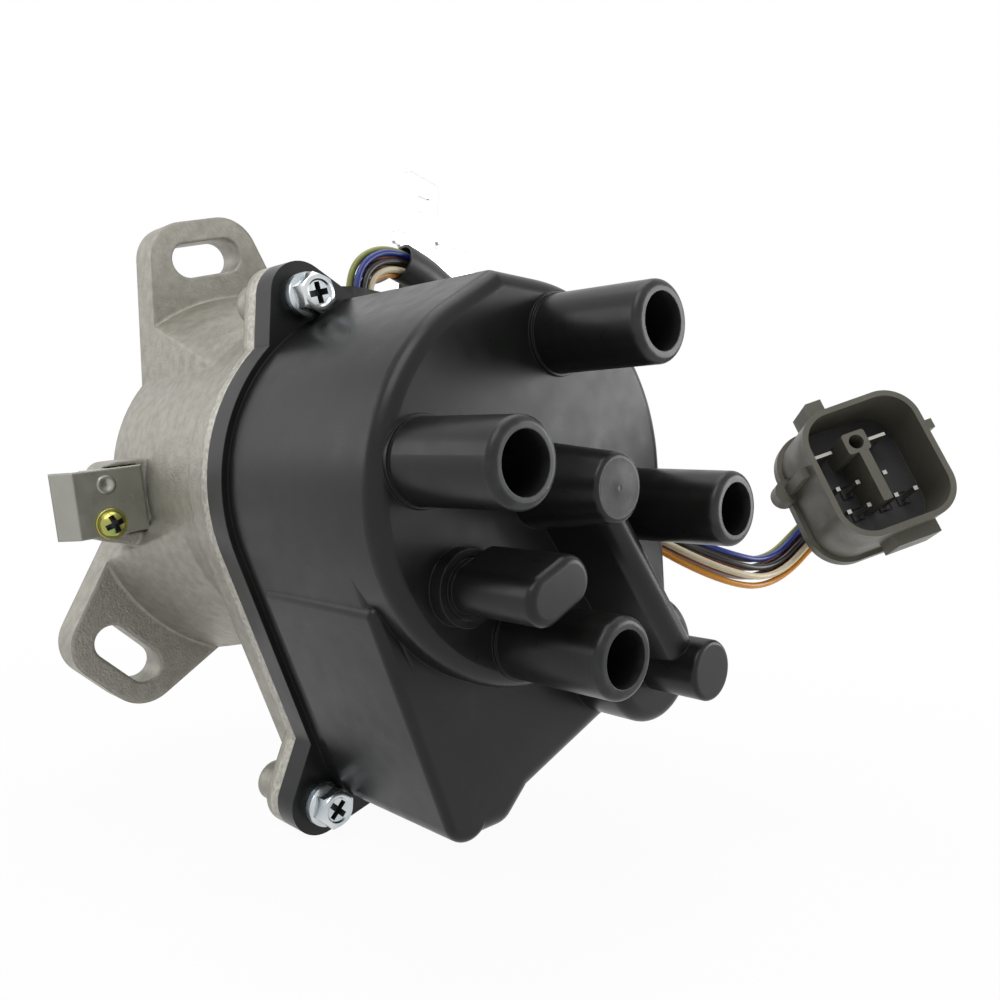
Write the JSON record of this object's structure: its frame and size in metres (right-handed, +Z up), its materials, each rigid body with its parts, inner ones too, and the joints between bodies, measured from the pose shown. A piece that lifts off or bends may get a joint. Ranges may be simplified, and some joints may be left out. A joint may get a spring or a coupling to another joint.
{
  "type": "ignition distributor",
  "caption": "Ignition distributor with a slotted-ear cast housing, moulded cap with lead towers, built-in coil, offset-dog drive and a sleeved wiring pigtail.",
  "frame": {"origin": "centre of the pilot spigot in the plane where the ears seat on the engine", "axes": "+Y along the shaft towards the drive coupling, -Y towards the cap, +Z up as fitted"},
  "size_m": [0.1699, 0.1934, 0.1679],
  "materials": {
    "cast_aluminium": "as cast, fine grained",
    "machined_steel": "ground",
    "coupling_steel": "turned",
    "cage_brass": "pressed",
    "black_phenolic": "moulded, slightly mottled",
    "rotor_plastic": "moulded",
    "pickup_plastic": "moulded",
    "terminal_metal": "cast",
    "screw_steel": "zinc plated",
    "yellow_zinc": "yellow zinc plated",
    "bracket_steel": "zinc plated sheet",
    "seal_rubber": "matt",
    "carbon": "sintered",
    "sleeve_black": "satin tube",
    "connector_grey": "moulded",
    "pin_tin": "tinned",
    "insulation_lime": "soft insulation",
    "insulation_blue": "soft insulation",
    "insulation_black": "soft insulation",
    "insulation_red": "soft insulation",
    "insulation_cream": "soft insulation",
    "insulation_orange": "soft insulation",
    "insulation_brown": "soft insulation",
    "insulation_green": "soft insulation",
    "insulation_grey": "soft insulation"
  },
  "bodies": {
    "body": {"housing": "cast_aluminium", "bearing_outer_race": "machined_steel", "coil_core": "machined_steel", "coil_contact": "cage_brass", "cap": "black_phenolic", "breather_cap": "black_phenolic", "coil_winding": "black_phenolic", "igniter_module": "black_phenolic", "dust_cover": "rotor_plastic", "crank_pickup": "pickup_plastic", "top_pickup": "pickup_plastic", "phase_pickup": "pickup_plastic", "cap_terminals": "terminal_metal", "cap_screws": "screw_steel", "spring_washers": "screw_steel", "flat_washers": "screw_steel", "retainer_screws": "screw_steel", "pickup_screws": "screw_steel", "igniter_screws": "screw_steel", "coil_screws": "screw_steel", "brush_spring": "screw_steel", "bearing_retainer": "screw_steel", "clip_screw": "yellow_zinc", "harness_bracket_screw": "yellow_zinc", "clip_bracket": "bracket_steel", "harness_bracket": "bracket_steel", "oil_seal": "seal_rubber", "o_ring": "seal_rubber", "cap_seal": "seal_rubber", "harness_grommet": "seal_rubber", "connector_boot": "seal_rubber", "harness_sleeve": "sleeve_black", "connector_shell": "connector_grey", "connector_pins": "pin_tin", "wire_lime": "insulation_lime", "wire_blue": "insulation_blue", "wire_black": "insulation_black", "wire_red": "insulation_red", "wire_cream": "insulation_cream", "wire_orange": "insulation_orange", "wire_brown": "insulation_brown", "wire_green": "insulation_green", "wire_grey": "insulation_grey"},
    "shaft": {"drive_shaft": "machined_steel", "bearing_inner_race": "machined_steel", "thrust_washer": "machined_steel", "drive_coupling": "coupling_steel", "coupling_pin": "machined_steel", "coupling_clip": "coupling_steel", "crank_wheel": "machined_steel", "top_wheel": "machined_steel", "phase_wheel": "machined_steel", "rotor": "rotor_plastic", "rotor_electrode": "cage_brass", "rotor_screw": "screw_steel"},
    "ball_cage": {"bearing_cage": "cage_brass", "bearing_balls": "machined_steel"},
    "brush": {"carbon_brush": "carbon"}
  },
  "joints": [
    {"name": "shaft_spin", "type": "hinge", "parent": "body", "child": "shaft", "pos_m": [0, 0, 0], "axis": [0, 1, 0], "continuous": true},
    {"name": "cage_spin", "type": "hinge", "parent": "body", "child": "ball_cage", "pos_m": [0, 0, 0], "axis": [0, 1, 0], "continuous": true},
    {"name": "brush_slide", "type": "slide", "parent": "body", "child": "brush", "axis": [0, -1, 0], "range_m": [0, 0.0015], "stiffness_N_per_m": 150, "springref_m": -0.002, "deforming": ["brush_spring"]}
  ],
  "couplings": [
    {"joint": "cage_spin", "follows": "shaft_spin", "ratio": 0.4}
  ]
}
